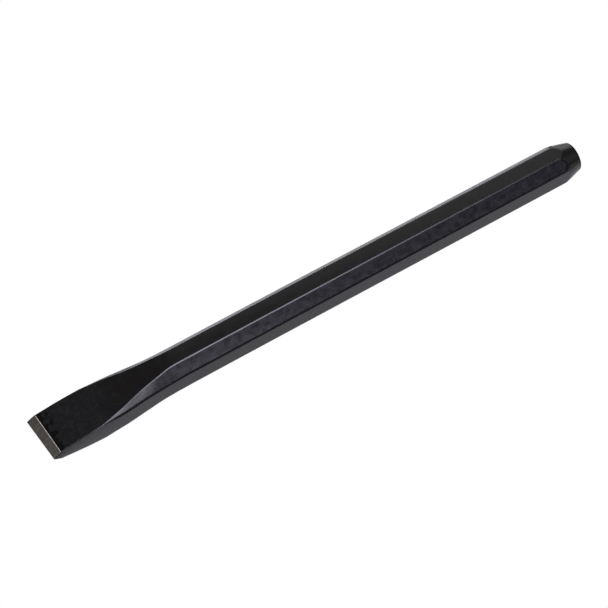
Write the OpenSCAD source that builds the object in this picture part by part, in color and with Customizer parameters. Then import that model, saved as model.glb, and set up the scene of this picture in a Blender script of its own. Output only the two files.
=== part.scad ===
// Cold chisel: one steel forging and the black lacquer film that covers all of it but the two ground bevels.
// The tool lies on a flat of its eight-sided bar, cutting edge towards -X and struck head towards +X.
// All sizes are those of the finished tool, over the lacquer.

/* [Bar] */
// Overall length, from the cutting edge to the struck face
overall_length = 300; // [240:5:340]
// Height of the bar, between its top and bottom flats
bar_height = 19; // [18:0.5:20]
// Width of the bar, between its two side flats
bar_width = 18.5; // [18:0.5:20]
// Leg of each 45 degree corner facet of the bar
corner_leg = 5.1; // [4.2:0.1:5.8]

/* [Blade] */
// Width of the cutting edge
edge_width = 25.4; // [24.4:0.2:27]
// Angle between the two ground bevels
edge_angle = 60; // [50:1:70]
// Length of the ground bevels, measured along the tool
bevel_length = 4.4; // [3.4:0.2:5.4]
// Distance from the cutting edge to the shoulder where the tapered faces meet the bar's flats
taper_length = 67; // [60:1:72]
// Depth of the hollow in the tapered faces, below a straight wedge
taper_hollow = 0.3; // [0:0.1:0.5]
// Distance from the cutting edge to where the sides start to sweep outwards
sweep_start = 76; // [74:1:84]
// Radius of the concave sweep of the sides
sweep_radius = 265; // [240:5:300]
// Spread of each side towards the edge, in millimetres per millimetre, past the sweep
edge_flare = 0.04; // [0.01:0.01:0.05]
// Length of the blade's parallel end, measured from the cutting edge
parallel_end = 14; // [8:1:20]
// Leg of the small facet left along the blade's long edges
arris_leg = 0.4; // [0.3:0.1:0.7]

/* [Head] */
// Diameter of the head where the rim of the struck face begins
head_diameter = 15.4; // [13:0.2:16.4]
// Slope of the head's cone against the tool's axis
head_slope = 15; // [12:0.5:20]
// Radius of the rim around the struck face
rim_radius = 1.2; // [0.6:0.1:1.8]

/* [Lacquer] */
// Thickness of the lacquer film
film_thickness = 0.1; // [0.06:0.02:0.2]

/* [Hidden] */

axis_height = bar_height / 2;
bevel_height = bevel_length * tan(edge_angle / 2);
// The corner facets have shrunk to the small blade facets at this distance from the cutting edge.
facet_end = 27;
// The corner facets shrink along a slightly swollen line, this much above a straight one at its middle.
facet_swell = 0.3;
// Two surfaces that meet in a soft shoulder are blended where they are closer than this.
shoulder_blend = 0.5;
// The soft shoulder of the tapered faces has died out this far behind the taper.
shoulder_run = 4;
// Each swept outline has this many straight steps, from just ahead of the cutting edge to the plain bar.
outline_steps = 32;
overrun = 2;
stock = 50;
rim_steps = 6;
round_fn = 96;

// Smaller of two lengths, with the corner between them rounded off.
function soft_min(a, b) =
    min(a, b) - pow(max(shoulder_blend - abs(a - b), 0), 2) / (4 * shoulder_blend);

// Height of the tapered face above the axis, before it meets the bar's flat. u is 0 at the bevel, 1 at the shoulder.
function taper_line(u) =
    bevel_height + (bar_height / 2 - bevel_height) * u - 4 * taper_hollow * u * (1 - u);

function half_height(d) =
    soft_min(taper_line((d - bevel_length) / (taper_length - bevel_length)), bar_height / 2);

// Half width of the circular sweep that leads from the bar's side out to the blade.
function sweep_arc(d) =
    bar_width / 2 + sweep_radius - sqrt(pow(sweep_radius, 2) - pow(max(sweep_start - d, 0), 2));

// Half width of the blade past the sweep: spreading, and then parallel up to the cutting edge.
function flare_line(d) =
    soft_min(edge_width / 2, edge_width / 2 - edge_flare * (d - parallel_end));

function half_width(d) =
    soft_min(flare_line(d), sweep_arc(d));

// Leg of the corner facet: full on the bar, shrinking to the small facet of the blade.
function facet_leg(d) =
    let (u = min(max((d - facet_end) / (taper_length - facet_end), 0), 1))
    arris_leg + (corner_leg - arris_leg) * u + 4 * facet_swell * u * (1 - u);

// Distance of the corner facet from the axis.
function facet_reach(d) =
    (half_width(d) + half_height(d) - facet_leg(d)) / sqrt(2);

// Outline along the tool, a film's depth below the finished surface. Its half breadth follows a function of the
// distance from the cutting edge, from just ahead of the edge to where the plain bar starts, and then runs straight.
module outline(half_breadth, bar_start, depth) {
    swept = [for (i = [0 : outline_steps])
        let (d = -overrun + i * (bar_start + overrun) / outline_steps)
        [d, half_breadth(d) - depth]];
    upper = concat(swept, [[overall_length + overrun, half_breadth(bar_start) - depth]]);
    lower = [for (i = [len(upper) - 1 : -1 : 0]) [upper[i][0], -upper[i][1]]];
    polygon(concat(upper, lower));
}

// Prism that bounds the tool between two opposite long faces, turned about the axis to face them.
module long_faces(half_breadth, bar_start, depth, turn) {
    rotate([turn, 0, 0])
        linear_extrude(height = stock, center = true)
            outline(half_breadth, bar_start, depth);
}

// Solid of revolution that bounds the head: its cone, its rounded rim and its flat struck face.
module head_turning(depth) {
    rim_centre_r = head_diameter / 2 - rim_radius * cos(head_slope);
    rim_centre_x = overall_length - rim_radius;
    rim_r = rim_radius - depth;
    rim = [for (i = [0 : rim_steps])
        let (a = head_slope + (90 - head_slope) * i / rim_steps)
        [rim_centre_r + rim_r * cos(a), rim_centre_x + rim_r * sin(a)]];
    cone_top = rim[0][1] - (stock / 2 - rim[0][0]) / tan(head_slope);
    rotate([0, 90, 0])
        rotate_extrude($fn = round_fn)
            polygon(concat([[0, -2 * overrun], [stock / 2, -2 * overrun], [stock / 2, cone_top]],
                rim, [[0, rim_centre_x + rim_r]]));
}

// Shape of the tool before its bevels are ground, a given depth below the finished surface.
module blank(depth) {
    top_and_bottom = function (d) half_height(d);
    sides = function (d) half_width(d);
    corner_facets = function (d) facet_reach(d);
    intersection() {
        long_faces(top_and_bottom, taper_length + shoulder_run, depth, 90);
        long_faces(sides, sweep_start, depth, 0);
        long_faces(corner_facets, sweep_start + overrun, depth, 45);
        long_faces(corner_facets, sweep_start + overrun, depth, -45);
        head_turning(depth);
    }
}

// Space behind the two ground bevels, which meet in the cutting edge.
module behind_bevels() {
    reach = overall_length + 2 * overrun;
    rotate([90, 0, 0])
        linear_extrude(height = stock, center = true)
            polygon([[0, 0], [reach, -reach * tan(edge_angle / 2)], [reach, reach * tan(edge_angle / 2)]]);
}

// Moves a shape that has the cutting edge's middle at the origin into the frame of the resting tool.
module resting() {
    translate([-overall_length / 2, 0, axis_height])
        children();
}

// The steel forging: bar, blade, head and the bare ground bevels.
module forged_body() {
    color("#8c8780")
        resting()
            intersection() {
                blank(film_thickness);
                behind_bevels();
            }
}

// The lacquer film: a skin over the whole forging, open only where the bevels were ground through it.
module lacquer_coat() {
    color("#1e1d1e")
        resting()
            intersection() {
                difference() {
                    blank(0);
                    blank(film_thickness);
                }
                behind_bevels();
            }
}

forged_body();
lacquer_coat();
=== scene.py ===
import math

import bmesh
import bpy
from mathutils import Matrix, Vector


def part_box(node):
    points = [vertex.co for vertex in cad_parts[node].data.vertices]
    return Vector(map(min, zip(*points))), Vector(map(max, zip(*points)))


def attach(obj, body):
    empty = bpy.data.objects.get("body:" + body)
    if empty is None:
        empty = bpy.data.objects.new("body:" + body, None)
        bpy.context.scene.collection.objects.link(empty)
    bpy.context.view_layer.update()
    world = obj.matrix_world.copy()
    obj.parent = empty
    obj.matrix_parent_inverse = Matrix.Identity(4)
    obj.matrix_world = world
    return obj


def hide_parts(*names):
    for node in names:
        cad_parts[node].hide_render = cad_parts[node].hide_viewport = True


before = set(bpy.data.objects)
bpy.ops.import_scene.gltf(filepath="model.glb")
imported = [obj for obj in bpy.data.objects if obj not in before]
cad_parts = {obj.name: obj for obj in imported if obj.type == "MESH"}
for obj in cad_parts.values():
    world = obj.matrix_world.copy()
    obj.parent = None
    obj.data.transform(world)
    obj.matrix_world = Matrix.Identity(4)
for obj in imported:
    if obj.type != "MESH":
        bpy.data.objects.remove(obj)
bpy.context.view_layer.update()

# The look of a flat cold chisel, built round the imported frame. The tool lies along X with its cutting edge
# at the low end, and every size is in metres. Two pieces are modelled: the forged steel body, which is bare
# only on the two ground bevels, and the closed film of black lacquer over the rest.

MM = 0.001

# ---------------------------------------------------------------- the frame

coat_low, coat_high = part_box("lacquer_coat")
steel_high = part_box("forged_body")[1]

EDGE_X = coat_low.x
LENGTH = coat_high.x - EDGE_X
AXIS_Z = (coat_low.z + coat_high.z) / 2
HALF_HEIGHT = (coat_high.z - coat_low.z) / 2
HALF_EDGE = (coat_high.y - coat_low.y) / 2
FILM = coat_high.z - steel_high.z

# ---------------------------------------------------------------- the shape
# The same sizes as in the CAD part, over the lacquer. Distances along the tool are measured from its cutting
# edge, which is what d stands for in every function.

HALF_WIDTH = 9.25 * MM
CORNER_LEG = 5.1 * MM
BEVEL_ANGLE = math.radians(30)
BEVEL_SLOPE = math.tan(BEVEL_ANGLE)
BEVEL_LENGTH = 4.4 * MM
TAPER_LENGTH = 67 * MM
TAPER_HOLLOW = 0.3 * MM
SWEEP_START = 76 * MM
SWEEP_RADIUS = 265 * MM
EDGE_FLARE = 0.04
PARALLEL_END = 14 * MM
FACET_END = 27 * MM
FACET_SWELL = 0.3 * MM
SHOULDER_BLEND = 0.5 * MM
HEAD_RADIUS = 7.7 * MM
HEAD_SLOPE = math.radians(15)
RIM_RADIUS = 1.2 * MM
CONE_END = LENGTH - RIM_RADIUS * (1 - math.sin(HEAD_SLOPE))

# What the looks add to those sizes.
TIP_LEG = 0.27 * MM           # the facets along the blade's long edges are finer than in the CAD part
FACET_TILT = 0.14             # the corner facets lie flatter along the blade, as a share of their leg
TILT_END = 61 * MM
TILT_FADE = TILT_END / 5
FACET_DROP = 0.2 * MM         # the corner facets reach a little further down the sides
BLADE_SWELL = 0.15 * MM       # the blade is a little full near its tip
SWELL_END = 34 * MM
BLADE_BELLY = 0.65 * MM       # and hangs a little below the bar's middle
BELLY_END = 66 * MM
SIDE_BARREL = 0.18 * MM       # the blade's sides are rounded from top to bottom
BARREL_END = 46 * MM
BARREL_FADE = BARREL_END / 2
SIDE_SPARE = 0.24 * MM        # the bar's sides stand a little proud between their rounded edges
SPARE_START = 20 * MM         # which sets in from here to twice as far
TOP_CROWN = 0.4 * MM          # the broad faces fall away a little towards their edges
BOW = 0.17 * MM               # the bar isn't quite straight
BOW_TURN = 110 * MM           # it is furthest to +Y here, and as far to -Y at the head
TOP_ARRIS = 1.3 * MM          # radius of the long edges along the top of the bar
BLADE_ARRIS = 0.5 * MM        # the same along the blade
ARRIS_END = 70 * MM
ARRIS_FADE = ARRIS_END / 3
SIDE_ARRIS = 1.9 * MM         # radius of the long edges along the sides
TIP_ARRIS = 0.12 * MM         # radius of all the long edges at the blade's tip
TIP_FADE = SWELL_END / 3
ARRIS_ROOM = 0.42             # the most of a facet that each of its two rounded edges takes
HEAD_BLEND = 0.14 * MM        # how softly the facets run into the head's cone
SIDE_BLEND = 0.6 * MM         # the same for the side faces, which run in more softly
BLEND_CHANGE = 1.5            # how soon the side faces' blend gives way to the facets'
EDGE_SKEW = 0.5 * MM          # the bevels are ground a little out of square
EDGE_ADVANCE = 0.35 * MM      # and their edge lies a little further forward
SKEW_FADE = 9 * MM
EDGE_LAND = 0.05 * MM         # the flat left on the cutting edge
# The arris behind each bevel is rubbed steel whose pale colour is partly a painted highlight.
BURNISH_WIDTH = 0.30 * MM     # the bright arris behind each ground bevel
BURNISH_MOST = 0.2            # and the most of the bevel that it takes

# How finely the skins are divided.
SIDE_STEPS = 5
ARC_STEPS = 5
FACET_STEPS = 6
TOP_STEPS = 9
QUARTER = SIDE_STEPS + ARC_STEPS + 1 + FACET_STEPS + ARC_STEPS + 1 + TOP_STEPS - 1
LINES = 4 * QUARTER           # lines of the skin along the tool
RING_GAP = 0.8 * MM
HEAD_GAP = 0.3 * MM
HEAD_START = LENGTH - 13 * MM
TIP_END = 12 * MM
TIP_RINGS = 14
RIM_RINGS = 7
CAP_RINGS = 6
BEVEL_ROWS = (0.3, 0.55, 0.8, 1.0)
SUPPORT = 0.25 * MM           # distance of the line that holds each flat face flat
MITRE = math.tan(math.radians(22.5))  # how far a corner moves along its face when both faces move in
HALVINGS = 40                 # steps of the search for the skin's border on the bevels
TINY = 1e-9                   # a length below this counts as none
SAME_POINT = 1e-7             # points closer than this are welded
NO_EDGE = 1e-8                # an edge shorter than this is taken away


def soft_min(a, b, blend):
    """The smaller of two lengths, rounded over where they are close."""
    near = max(blend - abs(a - b), 0)
    return min(a, b) - near * near / (4 * blend)


def mix(a, b, share):
    """A value share of the way from a to b."""
    return a + (b - a) * share


def clamp01(value):
    """The value held between 0 and 1."""
    return min(max(value, 0), 1)


def smooth(value):
    """A smooth step from 0 to 1."""
    value = clamp01(value)
    return value * value * (3 - 2 * value)


def fading(d, end, fade):
    """1 near the cutting edge, falling smoothly to 0 over the last stretch before the end."""
    return smooth((end - d) / fade)


def fullness(d, end):
    """A smooth swell from 0 at the cutting edge, through 1 half way, to 0 at the end."""
    return math.sin(math.pi * clamp01(d / end)) ** 2


def side_barrel(d):
    """How far the long edges fall back from the middle of the side, d behind the cutting edge."""
    return SIDE_BARREL * fading(d, BARREL_END, BARREL_FADE)


def half_height(d):
    """Half the thickness, d behind the cutting edge."""
    if d >= SWEEP_START:
        return HALF_HEIGHT
    u = (d - BEVEL_LENGTH) / (TAPER_LENGTH - BEVEL_LENGTH)
    taper = mix(BEVEL_LENGTH * BEVEL_SLOPE, HALF_HEIGHT, u) - 4 * TAPER_HOLLOW * u * (1 - u)
    return soft_min(taper, HALF_HEIGHT, SHOULDER_BLEND) + BLADE_SWELL * fullness(d, SWELL_END)


def half_width(d):
    """Half the width, d behind the cutting edge."""
    spare = SIDE_SPARE * smooth(d / SPARE_START - 1)
    if d >= SWEEP_START:
        return HALF_WIDTH + spare
    reach = SWEEP_START - d
    sweep = HALF_WIDTH + SWEEP_RADIUS - math.sqrt(SWEEP_RADIUS ** 2 - reach ** 2)
    flare = soft_min(HALF_EDGE, HALF_EDGE - EDGE_FLARE * (d - PARALLEL_END), SHOULDER_BLEND)
    swell = BLADE_SWELL * fullness(d, SWELL_END)
    # A third of the barrel goes outwards, so that the side stays where it was on average.
    return soft_min(flare, sweep, SHOULDER_BLEND) + spare + swell + side_barrel(d) / 3


def facet_legs(d):
    """How far the corner facet reaches across the top and down the side."""
    u = clamp01((d - FACET_END) / (TAPER_LENGTH - FACET_END))
    leg = mix(TIP_LEG, CORNER_LEG, u) + 4 * FACET_SWELL * u * (1 - u)
    swing = FACET_TILT * leg * fading(d, TILT_END, TILT_FADE)
    return leg + swing + FACET_DROP * u / 2, leg - swing + FACET_DROP * u


def arris_radii(d):
    """Radii of the long edges at the side and at the top, where their facet has room for them."""
    at_tip = fading(d, SWELL_END, TIP_FADE)
    top_arris = mix(TOP_ARRIS, BLADE_ARRIS, fading(d, ARRIS_END, ARRIS_FADE))
    return mix(SIDE_ARRIS, TIP_ARRIS, at_tip), mix(top_arris, TIP_ARRIS, at_tip)


def rounding(radius, turn, facet_length):
    """The radius that a long edge has room for, and how far back from its corner the rounding starts."""
    radius = min(radius, ARRIS_ROOM * facet_length / math.tan(turn / 2))
    return radius, radius * math.tan(turn / 2)


def cone_radius(d):
    """Radius of the head's cone, d behind the cutting edge."""
    return HEAD_RADIUS + (CONE_END - d) * math.tan(HEAD_SLOPE)


def flat_run(start, end, steps, hold_start, hold_end):
    """Points along a flat face, with a line close to each held end."""
    run = (end - start).length
    hold = min(SUPPORT, run / 4)
    first = hold if hold_start else 0
    last = run - hold if hold_end else run
    inner = [mix(first, last, i / (steps - 1)) for i in range(steps)]
    return [start.lerp(end, distance / run) for distance in inner]


def arc(centre, radius, start, end):
    """Points round a long edge, its ends included."""
    angles = [mix(start, end, i / ARC_STEPS) for i in range(ARC_STEPS + 1)]
    return [centre + Vector((math.cos(a), math.sin(a))) * radius for a in angles]


def quarter_section(d, inset):
    """A quarter of the eight-sided section, from the side's middle to the top's."""
    width = half_width(d) - inset
    height = half_height(d) - inset
    across, down = facet_legs(d)
    side_corner = Vector((width, height - down + inset * MITRE))
    top_corner = Vector((width - across + inset * MITRE, height))
    facet = top_corner - side_corner
    along = facet.normalized()
    side_turn = along.angle(Vector((0, 1)))
    top_turn = along.angle(Vector((-1, 0)))
    side_arris, top_arris = arris_radii(d)
    side_radius, side_cut = rounding(side_arris, side_turn, facet.length)
    top_radius, top_cut = rounding(top_arris, top_turn, facet.length)
    side_end = side_corner - Vector((0, side_cut))
    top_start = top_corner - Vector((top_cut, 0))
    points = flat_run(Vector((width, 0)), side_end, SIDE_STEPS, False, True)
    points += arc(side_end - Vector((side_radius, 0)), side_radius, 0, side_turn)
    points += flat_run(side_corner + along * side_cut, top_corner - along * top_cut, FACET_STEPS, True, True)
    points += arc(top_start - Vector((0, top_radius)), top_radius, math.pi / 2 - top_turn, math.pi / 2)
    points += flat_run(top_start, Vector((0, height)), TOP_STEPS, True, False)
    crown_faces(points, width, height, d)
    return points


def crown_faces(points, width, height, d):
    """Barrels the side and crowns the broad face of a quarter section."""
    barrel = side_barrel(d)
    crown = TOP_CROWN * smooth((d - BELLY_END) / (SWEEP_START - BELLY_END))
    for p in points:
        p.x -= barrel * (p.y / height) ** 2 * clamp01(2 * p.x / width)
        p.y -= crown * (p.x / width) ** 2 * clamp01(2 * p.y / height - 1)


def section(d, inset):
    """The whole section as (y, z) points, starting at the middle of the +Y side."""
    quarter = quarter_section(d, inset)
    back = [Vector((-p.x, p.y)) for p in reversed(quarter[:-1])]
    half = quarter + back
    depth = 1 + BLADE_BELLY * fullness(d, BELLY_END) / half_height(d)
    lower = [Vector((p.x, -p.y * depth)) for p in reversed(half[1:-1])]
    limit = cone_radius(d) - inset
    return [cut_by_cone(p, limit) for p in half + lower]


def cut_by_cone(p, limit):
    """A section's point, drawn in softly to the head's cone."""
    reach = p.length
    blend = mix(SIDE_BLEND, HEAD_BLEND, clamp01(BLEND_CHANGE * abs(p.y) / reach))
    return p * (soft_min(reach, limit, blend) / reach)


def quarter_line(k):
    """The line of the quarter section that line k of the skin repeats."""
    line = k % LINES
    line = min(line, LINES - line)
    return min(line, LINES // 2 - line)


def on_facet(k):
    """1 where line k of the skin is on a forged corner facet."""
    first = SIDE_STEPS + ARC_STEPS
    last = first + FACET_STEPS + 1
    return 1.0 if first <= quarter_line(k) <= last else 0.0


def inside_cone(k, d):
    """How far line k of the bar lies inside the head's cone, in millimetres, between -1 and 1."""
    if d < HEAD_START:
        return 1.0
    reach = quarter_section(d, 0)[quarter_line(k)].length
    return min(max((cone_radius(d) - reach) / MM, -1.0), 1.0)


def bevel_start(k, inset):
    """Where the bevel plane cuts line k of the skin, measured from the cutting edge."""
    low, high = 0.0, TIP_END
    land = EDGE_LAND / 2
    for _ in range(HALVINGS):
        middle = (low + high) / 2
        height = max(abs(section(middle, inset)[k].y), land)
        if middle * BEVEL_SLOPE < height:
            low = middle
        else:
            high = middle
    return (low + high) / 2


def border_point(d, p):
    """A section's point d behind the cutting edge, moved up or down onto its bevel plane."""
    height = math.copysign(d * BEVEL_SLOPE, p.y) if abs(p.y) > TINY else 0
    return Vector((d, p.x, height))


def tip_rings(inset):
    """Rings from the slanting border on the bevels to the first upright section."""
    starts = [bevel_start(k, inset) for k in range(LINES)]
    rings = []
    for i in range(TIP_RINGS):
        ring = []
        for k, start in enumerate(starts):
            d = mix(start, TIP_END, i / TIP_RINGS)
            p = section(d, inset)[k]
            ring.append(border_point(d, p) if i == 0 else Vector((d, p.x, p.y)))
        rings.append(ring)
    return rings


def stations():
    """Where the upright sections stand, measured from the cutting edge."""
    bar_steps = round((HEAD_START - TIP_END) / RING_GAP)
    head_steps = round((CONE_END - HEAD_START) / HEAD_GAP)
    bar = [mix(TIP_END, HEAD_START, i / bar_steps) for i in range(bar_steps)]
    head = [mix(HEAD_START, CONE_END, i / head_steps) for i in range(head_steps + 1)]
    return bar + head


def skin_rings(inset):
    """Rings of points over the whole blank, from the bevels to the struck face."""
    rings = tip_rings(inset)
    for d in stations():
        rings.append([Vector((d, p.x, p.y)) for p in section(d, inset)])
    return rings + head_rings(rings[-1], inset)


def head_rings(last, inset):
    """Rings round the head's rim and across the struck face, ending short of its middle."""
    rim = RIM_RADIUS - inset
    centre_r = HEAD_RADIUS - RIM_RADIUS * math.cos(HEAD_SLOPE)
    centre_x = LENGTH - RIM_RADIUS
    directions = [Vector((p.y, p.z)).normalized() for p in last]
    rings = []
    for i in range(1, RIM_RINGS + 1):
        angle = mix(HEAD_SLOPE, math.pi / 2, i / RIM_RINGS)
        x = centre_x + rim * math.sin(angle)
        r = centre_r + rim * math.cos(angle)
        rings.append([Vector((x, q.x * r, q.y * r)) for q in directions])
    for i in range(1, CAP_RINGS):
        r = centre_r * (1 - i / CAP_RINGS)
        rings.append([Vector((LENGTH - inset, q.x * r, q.y * r)) for q in directions])
    return rings


def place(point):
    """From (distance behind the edge, y, z from the axis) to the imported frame."""
    skew = EDGE_ADVANCE + EDGE_SKEW * point.y / HALF_EDGE
    shift = skew * smooth(1 - point.x / SKEW_FADE)
    bow = BOW * (smooth(point.x / BOW_TURN) - 2 * smooth((point.x - BOW_TURN) / (LENGTH - BOW_TURN)))
    return Vector((EDGE_X + point.x - shift, point.y + bow, AXIS_Z + point.z))


def add_skin(mesh, rings, inset, outward):
    """Faces over the rings, closed at the struck face. Returns the first ring's vertices."""
    layers = mesh.verts.layers.float
    facet_mark = layers.get("facet_mark") or layers.new("facet_mark")
    cone_gap = layers.get("cone_gap") or layers.new("cone_gap")
    loops = []
    for ring in rings:
        loop = [mesh.verts.new(place(p)) for p in ring]
        for k, vert in enumerate(loop):
            vert[facet_mark] = on_facet(k)
            vert[cone_gap] = inside_cone(k, ring[k].x)
        loops.append(loop)
    tip = mesh.verts.new(place(Vector((LENGTH - inset, 0, 0))))
    count = len(loops[0])
    for near, far in zip(loops, loops[1:]):
        for k in range(count):
            n = (k + 1) % count
            corners = [near[k], far[k], far[n], near[n]]
            mesh.faces.new(corners if outward else corners[::-1])
    for k in range(count):
        corners = [loops[-1][k], tip, loops[-1][(k + 1) % count]]
        mesh.faces.new(corners if outward else corners[::-1])
    return loops[0]


def mark_sharp(mesh, angle):
    """Edges that turn more than the angle stay crisp."""
    for edge in mesh.edges:
        if len(edge.link_faces) == 2:
            edge.smooth = edge.calc_face_angle(0) < angle


def finish_mesh(mesh, name, sharp_angle, material_list):
    """Turns the bmesh into an object with smooth faces and its materials."""
    bmesh.ops.remove_doubles(mesh, verts=mesh.verts, dist=SAME_POINT)
    mark_sharp(mesh, sharp_angle)
    bmesh.ops.dissolve_degenerate(mesh, edges=mesh.edges, dist=NO_EDGE)
    bmesh.ops.recalc_face_normals(mesh, faces=mesh.faces)
    for face in mesh.faces:
        face.smooth = True
    data = bpy.data.meshes.new(name)
    mesh.to_mesh(data)
    mesh.free()
    piece = bpy.data.objects.new(name, data)
    bpy.context.scene.collection.objects.link(piece)
    for material in material_list:
        data.materials.append(material)
    return piece


# ---------------------------------------------------------------- materials


class Nodes:
    """A short way to write a material's node tree."""

    def __init__(self, name):
        self.material = bpy.data.materials.new(name)
        self.material.use_nodes = True
        self.tree = self.material.node_tree
        self.shader = self.tree.nodes["Principled BSDF"]
        self.where = self.add("ShaderNodeTexCoord").outputs["Object"]

    def add(self, kind, settings=None, inputs=None):
        """A node with its settings and its inputs, which are values or sockets."""
        node = self.tree.nodes.new(kind)
        for key, value in (settings or {}).items():
            setattr(node, key, value)
        for key, value in (inputs or {}).items():
            self.link(value, node.inputs[key])
        return node

    def link(self, value, socket):
        """Joins a socket to another, or gives it a plain value."""
        if isinstance(value, bpy.types.NodeSocket):
            self.tree.links.new(value, socket)
        else:
            socket.default_value = value

    def finish(self, **inputs):
        """Sets the shader's inputs, named with _ for each space."""
        for key, value in inputs.items():
            self.link(value, self.shader.inputs[key.replace("_", " ")])

    def math(self, operation, a, b=0.0):
        """One step of arithmetic."""
        return self.add("ShaderNodeMath", {"operation": operation}, {0: a, 1: b}).outputs[0]

    def ramp(self, value, low, high, out_low=0.0, out_high=1.0):
        """A smooth change from out_low to out_high as value goes from low to high."""
        inputs = {"Value": value, "From Min": low, "From Max": high, "To Min": out_low, "To Max": out_high}
        node = self.add("ShaderNodeMapRange", {"interpolation_type": "SMOOTHSTEP"}, inputs)
        return node.outputs["Result"]

    def noise(self, vector, scale, detail, rough):
        """Cloudy noise, as a number about 0.5."""
        inputs = {"Vector": vector, "Scale": scale, "Detail": detail, "Roughness": rough}
        return self.add("ShaderNodeTexNoise", {}, inputs).outputs["Fac"]

    def stretched(self, scale):
        """The place on the object, scaled along its three axes."""
        return self.add("ShaderNodeMapping", {}, {"Vector": self.where, "Scale": scale}).outputs["Vector"]

    def part(self, axis):
        """One coordinate of the place on the object."""
        return self.add("ShaderNodeSeparateXYZ", {}, {"Vector": self.where}).outputs[axis]

    def mark(self, name):
        """A value that the mesh carries at its vertices."""
        return self.add("ShaderNodeAttribute", {"attribute_name": name}).outputs["Fac"]

    # A Mix node has sockets for each kind of value, so they are picked by number here.

    def blend(self, share, a, b):
        """A colour between a and b."""
        return self.add("ShaderNodeMix", {"data_type": "RGBA"}, {0: share, 6: a, 7: b}).outputs[2]

    def number(self, share, a, b):
        """A number between a and b."""
        return self.add("ShaderNodeMix", {"data_type": "FLOAT"}, {0: share, 2: a, 3: b}).outputs[0]

    def bump(self, height, distance):
        """A bump from a height between 0 and 1."""
        return self.add("ShaderNodeBump", {}, {"Height": height, "Distance": distance}).outputs["Normal"]


# The noises, each as its scale, detail and roughness, and how their contrast is stretched.
BLOTCHES = (360.0, 3.0, 0.6)
SWELLS = (330.0, 0.5, 0.4)
DUST_CLOUDS = (420.0, 3.0, 0.7)
BEAD_WAVES = (200.0, 2.0, 0.5)
GLOSS_CLOUDS = (170.0, 2.0, 0.5)
GRIND_LINES = (1.0, 3.0, 0.7)
BROWN_CLOUDS = (380.0, 2.0, 0.5)
WEAR = (700.0, 2.0, 0.6)
BLOTCH_CONTRAST = (0.15, 0.85)
DUST_CONTRAST = (0.45, 0.75)
CLOUD_CONTRAST = (0.3, 0.7)
FACET_STRETCH = (0.8, 1.0, 1.0)
GRIND_STRETCH = (120.0, 2400.0, 120.0)
SPECK_CELLS = 800.0
SPECK_EDGE = (0.15, 0.35)             # where a speck fades out, from its middle
SPECK_PICK = (0.55, 1.0)              # which cells have a speck, and how strong it is

# Where the film's look changes, measured from the cutting edge.
BLADE_FADE = (25 * MM, 45 * MM)       # from the blade's black to the bar's
FORGED_FADE = (42 * MM, 64 * MM)      # from smooth corner facets to mottled ones
# The long edges at the tip are dulled and darkened into a painted shade line.
LONG_EDGE_FADE = (18 * MM, 31 * MM)   # from dull long edges at the tip to glossy ones
BEAD_FADE = (6.2 * MM, 7.4 * MM)      # from the bead behind the bevels to the even film
BEAD_SPREAD = 13 * MM                 # how far the bead's end wanders
# The rim and the struck face are dulled and darkened, a painted shade line at the rim.
RIM_FADE = (LENGTH - 1.25 * MM, LENGTH - 0.95 * MM)         # from the cone onto the struck face's rim
SIDE_FADE = (HALF_EDGE - 0.50 * MM, HALF_EDGE - 0.25 * MM)  # from the middle onto the blade's sides
BORDER_FADE = (0.40 * MM, 0.70 * MM)  # from the film's cut border to its face, square to the bevel

# Where it changes round the head, in the millimetres that the cone_gap marks give.
CONE_FADE = (-0.3, 0.0)               # from the cone to the bar
FACET_FADE = (0.02, 0.10)             # from the cone to the corner facets
# The facets' dark outline round their ends is painted shade.
OUTLINE_FADE = (0.35, 0.55)           # from the facets' dark outline to the facets

# The film's colours.
BAR_BLACK = (0.0050, 0.0045, 0.0041, 1)
BLADE_BLACK = (0.0066, 0.0062, 0.0059, 1)
SCALE_DARK = (0.005, 0.005, 0.006, 1)
SCALE_LIGHT = (0.014, 0.014, 0.017, 1)
DUST_GREY = (0.016, 0.016, 0.016, 1)
SPECK_GREY = (0.045, 0.045, 0.049, 1)
BEAD_BLACK = (0.0015, 0.0014, 0.0011, 1)
# A dull darker black: beside the bevels, and painted shade in the dark lines on the rim, round the facets'
# ends and along the tip's long edges.
DULL_AND_SHADE_BLACK = (0.0025, 0.0025, 0.0025, 1)

# How strong each mark on the film is, and its finish.
DUST_SHARE = 0.5
FLAT_SPECKS, SMOOTH_SPECKS, FORGED_SPECKS = 0.18, 0.04, 0.5
FLAT_PEEL, SMOOTH_PEEL, FORGED_PEEL = 0.06, 0.1, 0.8
SMOOTH_BLOTCHES, FORGED_BLOTCHES = 0.12, 1.0
LONG_EDGE_SHADE = 0.8
BEAD_HEIGHT = 0.3
PEEL_DEPTH = 0.07 * MM
FLAT_ROUGH = (0.20, 0.25)
FACET_ROUGH = (0.24, 0.31)
CONE_ROUGH = 0.27
DULL_ROUGH = 0.6
GLOSSY_TO_DULL = (0.5, 0.12)
LACQUER_IOR = 1.47

# The bare steel.
STEEL_DARK = (0.37, 0.35, 0.305, 1)
STEEL_LIGHT = (0.53, 0.50, 0.43, 1)
STEEL_BROWN = (0.32, 0.275, 0.205, 1)
BROWN_SHARES = (0.15, 0.75)           # at the -Y side of the bevels and at the +Y side
STEEL_ROUGH = (0.34, 0.46)
GRIND_DEPTH = 0.03 * MM
# Pale and only partly metallic, so the rubbed line shines under any light: partly a painted highlight.
BURNISH_HIGHLIGHT_DARK = (0.45, 0.43, 0.40, 1)
BURNISH_HIGHLIGHT_LIGHT = (0.70, 0.685, 0.655, 1)
BURNISH_ROUGH = (0.5, 0.62)
BURNISH_METALLIC = 0.45


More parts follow.
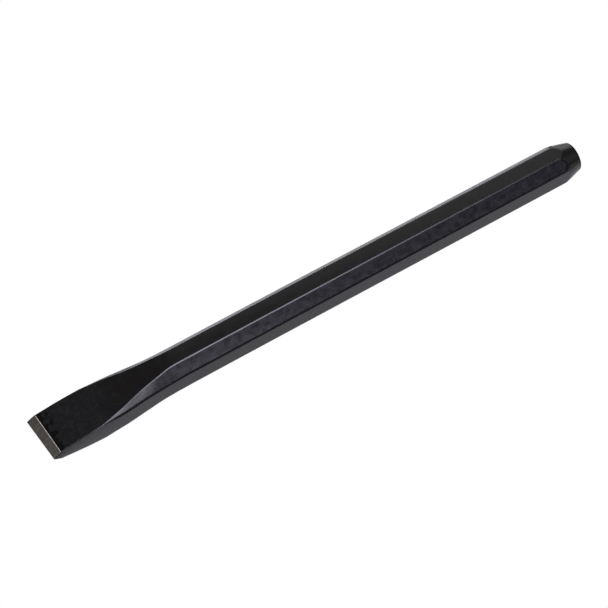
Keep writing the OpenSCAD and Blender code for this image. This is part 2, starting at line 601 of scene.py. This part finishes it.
class Film(Nodes):
    """The lacquer's node tree, with the places that its look follows."""

    def __init__(self):
        super().__init__("black_lacquer")
        self.behind = self.math("SUBTRACT", self.part("X"), EDGE_X)
        self.on_blade = self.ramp(self.behind, *BLADE_FADE, 1.0, 0.0)
        self.forged = self.ramp(self.behind, *FORGED_FADE)
        self.cone_gap = self.mark("cone_gap")
        self.on_facet = self.math("MULTIPLY", self.mark("facet_mark"), self.ramp(self.cone_gap, *FACET_FADE))
        self.along = self.stretched(FACET_STRETCH)
        self.blotch = self.ramp(self.noise(self.along, *BLOTCHES), *BLOTCH_CONTRAST)

    def strength(self, flat, smooth_facet, forged_facet):
        """How strong a mark is on the flats, on the blade's smooth facets and on the bar's forged ones."""
        return self.number(self.on_facet, flat, self.number(self.forged, smooth_facet, forged_facet))


def flat_colour(n):
    """An even black on the flats, with faint clouds of dust on the blade."""
    clouds = n.ramp(n.noise(n.where, *DUST_CLOUDS), *DUST_CONTRAST)
    dust = n.math("MULTIPLY", n.math("MULTIPLY", clouds, n.on_blade), DUST_SHARE)
    return n.blend(dust, n.blend(n.on_blade, BAR_BLACK, BLADE_BLACK), DUST_GREY)


def facet_colour(n):
    """Soft blotches of forging scale under the film, which fade out towards the blade."""
    contrast = n.number(n.forged, SMOOTH_BLOTCHES, FORGED_BLOTCHES)
    scaled = n.math("MULTIPLY", n.math("SUBTRACT", n.blotch, 0.5), contrast)
    return n.blend(n.math("ADD", scaled, 0.5), SCALE_DARK, SCALE_LIGHT)


def specks(n):
    """How much a speck of dust or scale shows at each point."""
    cells = n.add("ShaderNodeTexVoronoi", {}, {"Vector": n.where, "Scale": SPECK_CELLS})
    pick = n.add("ShaderNodeSeparateColor", {}, {"Color": cells.outputs["Color"]}).outputs[0]
    dot = n.ramp(cells.outputs["Distance"], *SPECK_EDGE, 1.0, 0.0)
    speck = n.math("MULTIPLY", dot, n.ramp(pick, *SPECK_PICK))
    return n.math("MULTIPLY", speck, n.strength(FLAT_SPECKS, SMOOTH_SPECKS, FORGED_SPECKS))


def bevel_bead(n):
    """1 on the bead where the film thickens behind the ground bevels, which ends in a wandering line."""
    wander = n.math("MULTIPLY", n.math("SUBTRACT", n.noise(n.where, *BEAD_WAVES), 0.5), BEAD_SPREAD)
    return n.ramp(n.math("ADD", n.behind, wander), *BEAD_FADE, 1.0, 0.0)


def bevel_border(n):
    """1 on the film's dull border beside the bevels, on the blade's sides."""
    height = n.math("ABSOLUTE", n.math("SUBTRACT", n.part("Z"), AXIS_Z))
    along_normal = n.math("MULTIPLY", n.behind, math.sin(BEVEL_ANGLE))
    into = n.math("SUBTRACT", along_normal, n.math("MULTIPLY", height, math.cos(BEVEL_ANGLE)))
    on_side = n.ramp(n.math("ABSOLUTE", n.part("Y")), *SIDE_FADE)
    return n.math("MULTIPLY", n.ramp(into, *BORDER_FADE, 1.0, 0.0), on_side)


def dull_and_shaded_places(n):
    """1 where the film is dull and darker: beside the bevels, and as painted shade in the dark lines on the
    rim and round the facets' ends.

    The long edges at the blade's tip carry a weaker painted dark line too.
    """
    rim = n.ramp(n.behind, *RIM_FADE)
    outline_shade = n.math("MULTIPLY", n.on_facet, n.ramp(n.cone_gap, *OUTLINE_FADE, 1.0, 0.0))
    long_edge_shade = n.math("MULTIPLY", n.on_facet, n.ramp(n.behind, *LONG_EDGE_FADE, LONG_EDGE_SHADE, 0.0))
    ends = n.math("MAXIMUM", bevel_border(n), rim)
    return n.math("MAXIMUM", ends, n.math("MAXIMUM", outline_shade, long_edge_shade))


def film_roughness(n, dull_and_shade):
    """Satin with faint clouds on the flats, following the scale on the facets, and even on the cone."""
    flat = n.ramp(n.noise(n.where, *GLOSS_CLOUDS), *CLOUD_CONTRAST, *FLAT_ROUGH)
    facet = n.ramp(n.blotch, 0.0, 1.0, *FACET_ROUGH)
    bar = n.number(n.ramp(n.cone_gap, *CONE_FADE), CONE_ROUGH, flat)
    return n.number(dull_and_shade, n.number(n.on_facet, bar, facet), DULL_ROUGH)


def film_bump(n, bead):
    """The film's orange peel, strongest on the forged facets, and the raised bead."""
    swell = n.math("SUBTRACT", n.noise(n.along, *SWELLS), 0.5)
    peel = n.math("MULTIPLY", swell, n.strength(FLAT_PEEL, SMOOTH_PEEL, FORGED_PEEL))
    return n.bump(n.math("ADD", peel, n.math("MULTIPLY", bead, BEAD_HEIGHT)), PEEL_DEPTH)


def black_lacquer():
    """Satin black lacquer: even on the flats, mottled by forging scale on the corner facets."""
    n = Film()
    bead = bevel_bead(n)
    # Dull darker film beside the bevels, and painted shade in the dark lines on the rim, round the facets'
    # ends and along the tip's long edges.
    dull_and_shade = dull_and_shaded_places(n)
    colour = n.blend(n.on_facet, flat_colour(n), facet_colour(n))
    colour = n.blend(specks(n), colour, SPECK_GREY)
    colour = n.blend(bead, colour, BEAD_BLACK)
    n.finish(
        Base_Color=n.blend(dull_and_shade, colour, DULL_AND_SHADE_BLACK),
        Roughness=film_roughness(n, dull_and_shade),
        Specular_IOR_Level=n.ramp(dull_and_shade, 0.0, 1.0, *GLOSSY_TO_DULL),
        IOR=LACQUER_IOR,
        Normal=film_bump(n, bead),
    )
    return n.material


def ground_steel():
    """Bare tool steel with fine grind lines from the cutting edge towards the blade."""
    n = Nodes("ground_steel")
    lines = n.noise(n.stretched(GRIND_STRETCH), *GRIND_LINES)
    # Brown clouds that grow stronger towards +Y, so the bevels turn darker and browner towards +Y.
    brown_cloud = n.ramp(n.noise(n.where, *BROWN_CLOUDS), *CLOUD_CONTRAST)
    browned = n.math("MULTIPLY", brown_cloud, n.ramp(n.part("Y"), -HALF_EDGE, HALF_EDGE, *BROWN_SHARES))
    n.finish(
        Base_Color=n.blend(browned, n.blend(lines, STEEL_DARK, STEEL_LIGHT), STEEL_BROWN),
        Roughness=n.ramp(lines, *CLOUD_CONTRAST, *STEEL_ROUGH),
        Metallic=1.0,
        Normal=n.bump(lines, GRIND_DEPTH),
    )
    return n.material


def burnished_arris_and_highlight():
    """The bright rubbed line where the grinding broke through the lacquer. Its pale colour, only partly
    metallic, is partly a painted highlight.
    """
    n = Nodes("burnished_arris_and_highlight")
    wear = n.noise(n.where, *WEAR)
    n.finish(
        Base_Color=n.blend(wear, BURNISH_HIGHLIGHT_DARK, BURNISH_HIGHLIGHT_LIGHT),
        Roughness=n.ramp(wear, *CLOUD_CONTRAST, *BURNISH_ROUGH),
        Metallic=BURNISH_METALLIC,
    )
    return n.material


# ---------------------------------------------------------------- the pieces

# The material slots of the steel.
GROUND, BURNISHED_HIGHLIGHT = 0, 1


def edge_line(ring, side):
    """The points of the cutting edge's land that face each point of one bevel's border."""
    land = EDGE_LAND / 2
    reach = HALF_EDGE - FILM
    return [Vector((land / BEVEL_SLOPE, max(min(p.y, reach), -reach), side * land)) for p in ring]


def burnish_share(p, q):
    """How much of the way from the border point p to the edge point q the burnished arris takes."""
    return min(BURNISH_WIDTH / max((q - p).length, TINY), BURNISH_MOST)


def add_bevel(mesh, border_verts, border, side):
    """One ground bevel between the skin's border and the cutting edge. Returns its edge line."""
    edge = edge_line(border, side)
    burnished = [burnish_share(p, q) for p, q in zip(border, edge)]
    rows = [border_verts]
    for shares in [burnished] + [[share] * len(border) for share in BEVEL_ROWS]:
        points = [p.lerp(q, share) for p, q, share in zip(border, edge, shares)]
        rows.append([mesh.verts.new(place(point)) for point in points])
    for j, (near, far) in enumerate(zip(rows, rows[1:])):
        for k in range(len(near) - 1):
            face = mesh.faces.new([near[k], near[k + 1], far[k + 1], far[k]])
            face.material_index = BURNISHED_HIGHLIGHT if j == 0 else GROUND
    return rows[-1]


def forged_body():
    """The steel under the film, with both ground bevels and the land of the cutting edge."""
    mesh = bmesh.new()
    rings = skin_rings(FILM)
    first = add_skin(mesh, rings, FILM, True)
    count = len(first)
    half = count // 2
    upper = range(half + 1)
    lower = [k % count for k in range(half, count + 1)]
    edges = []
    for order, side in ((upper, 1), (lower, -1)):
        verts = [first[k] for k in order]
        points = [rings[0][k] for k in order]
        edges.append(add_bevel(mesh, verts, points, side))
    top, bottom = edges[0], edges[1][::-1]
    for k in range(len(top) - 1):
        mesh.faces.new([top[k], top[k + 1], bottom[k + 1], bottom[k]])
    sharp_angle = math.radians(14)
    return finish_mesh(mesh, "forged_steel_body", sharp_angle, [ground_steel(), burnished_arris_and_highlight()])


def lacquer_coat():
    """The closed film: its outer skin, its inner skin on the steel, and its cut edge on the bevels."""
    mesh = bmesh.new()
    outer = add_skin(mesh, skin_rings(0), 0, True)
    inner = add_skin(mesh, skin_rings(FILM), FILM, False)
    count = len(outer)
    for k in range(count):
        n = (k + 1) % count
        mesh.faces.new([outer[k], outer[n], inner[n], inner[k]])
    sharp_angle = math.radians(20)
    return finish_mesh(mesh, "black_lacquer_coat", sharp_angle, [black_lacquer()])


# ---------------------------------------------------------------- the studio

PAPER_Z = -0.4 * MM           # just under the cards and the tool
PAPER_SIZE = 16.0
PALE_PAINT = (0.67, 0.67, 0.63, 1)
PAINT_ROUGH = 0.9
ROOM_LIGHT = 0.06

# Each pale card's name, width, depth and middle.
CARDS = (
    ("floor", LENGTH + 0.12, 0.10, (0, 0.014, 0)),
    ("apron", 0.24, 0.35, (0.33, -0.12, 0)),
)

# Each light's name, middle, aim, width, height, power and colour.
SOFTBOXES = (
    ("key", (-0.10, -0.44, 1.01), (0, 0, 0), 0.8, 1.0, 16.85, (0.94, 0.91, 1.05)),
    ("strip", (0.30, -0.12, 1.03), (0, 0, 0), 0.9, 0.26, 4, (0.92, 0.90, 1.12)),
    ("back", (0.55, 0.72, 0.70), (0.05, 0, 0), 0.9, 0.66, 0.78, (1.0, 0.98, 0.96)),
    ("wall", (0.72, 0.82, 0.30), (0.14, 0, 0), 0.7, 0.7, 1.9, (1.0, 0.98, 0.99)),
    ("side", (0.90, -0.45, 0.52), (0.14, 0, 0), 0.6, 0.6, 0.30, (1.0, 0.97, 0.95)),
)

# The camera looks along its azimuth, which is turned from +Y towards +X, and down by its elevation.
CAMERA_AIM = (-9.0 * MM, -2.2 * MM, AXIS_Z)
CAMERA_DISTANCE = 1.0129
CAMERA_AZIMUTH = math.radians(26.65)
CAMERA_ELEVATION = math.radians(52.67)
CAMERA_ROLL = math.radians(-6.43)
CAMERA_LENS = 125.8
CAMERA_SENSOR = 36


def shining_white():
    """A white that gives its own light, for the paper under the tool."""
    n = Nodes("paper_white")
    n.finish(
        Base_Color=(0.0, 0.0, 0.0, 1),
        Roughness=1.0,
        Specular_IOR_Level=0.0,
        Emission_Color=(1, 1, 1, 1),
        Emission_Strength=1.0,
    )
    return n.material


def matt_white(name):
    """Plain pale paint."""
    n = Nodes(name)
    n.finish(Base_Color=PALE_PAINT, Roughness=PAINT_ROUGH)
    return n.material


def sheet(name, width, depth, middle, material):
    """A level sheet, facing up."""
    mesh = bmesh.new()
    bmesh.ops.create_grid(mesh, x_segments=8, y_segments=8, size=0.5)
    data = bpy.data.meshes.new(name)
    mesh.to_mesh(data)
    mesh.free()
    data.materials.append(material)
    made = bpy.data.objects.new(name, data)
    made.location = middle
    made.scale = (width, depth, 1)
    bpy.context.scene.collection.objects.link(made)
    return made


def softbox(name, middle, aim, width, height, power, colour):
    """A rectangular soft light aimed at a point."""
    light = bpy.data.lights.new(name, "AREA")
    light.shape = "RECTANGLE"
    light.size = width
    light.size_y = height
    light.energy = power
    light.color = colour
    lamp = bpy.data.objects.new(name, light)
    lamp.location = middle
    lamp.rotation_mode = "QUATERNION"
    lamp.rotation_quaternion = (Vector(aim) - Vector(middle)).to_track_quat("-Z", "Y")
    bpy.context.scene.collection.objects.link(lamp)


def build_floor():
    """White paper that the tool doesn't see, and pale cards on it that the camera doesn't see."""
    for name, width, depth, middle in CARDS:
        card = sheet(name, width, depth, middle, matt_white(name + "_paint"))
        card.visible_camera = False
    paper = sheet("paper", PAPER_SIZE, PAPER_SIZE, (0, 0, PAPER_Z), shining_white())
    paper.visible_diffuse = False
    paper.visible_glossy = False
    paper.visible_shadow = False


def build_room():
    """A dim even light from all round, and plain colours in the picture."""
    world = bpy.data.worlds.new("room")
    world.use_nodes = True
    background = world.node_tree.nodes["Background"]
    background.inputs["Color"].default_value = (1, 1, 1, 1)
    background.inputs["Strength"].default_value = ROOM_LIGHT
    bpy.context.scene.world = world
    bpy.context.scene.view_settings.view_transform = "Standard"
    bpy.context.scene.view_settings.look = "None"


def build_camera():
    """The camera, at the viewing angle of the real one."""
    forward = Vector((
        math.cos(CAMERA_ELEVATION) * math.sin(CAMERA_AZIMUTH),
        math.cos(CAMERA_ELEVATION) * math.cos(CAMERA_AZIMUTH),
        -math.sin(CAMERA_ELEVATION),
    ))
    level = forward.cross(Vector((0, 0, 1))).normalized()
    upright = level.cross(forward)
    right = level * math.cos(CAMERA_ROLL) + upright * math.sin(CAMERA_ROLL)
    up = right.cross(forward)
    data = bpy.data.cameras.new("camera")
    data.sensor_width = CAMERA_SENSOR
    data.lens = CAMERA_LENS
    data.clip_start = 0.05
    data.clip_end = 50
    camera = bpy.data.objects.new("camera", data)
    turn = Matrix((right, up, -forward)).transposed().to_4x4()
    camera.matrix_world = Matrix.Translation(Vector(CAMERA_AIM) - forward * CAMERA_DISTANCE) @ turn
    bpy.context.scene.collection.objects.link(camera)
    bpy.context.scene.camera = camera


steel = forged_body()
coat = lacquer_coat()
for piece, slot_name, node_name in (
    (steel, "ground_steel", "forged_body"),
    (coat, "black_lacquer", "lacquer_coat"),
):
    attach(piece, "root")
    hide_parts(node_name)

build_floor()
build_room()
for light_values in SOFTBOXES:
    softbox(*light_values)
build_camera()
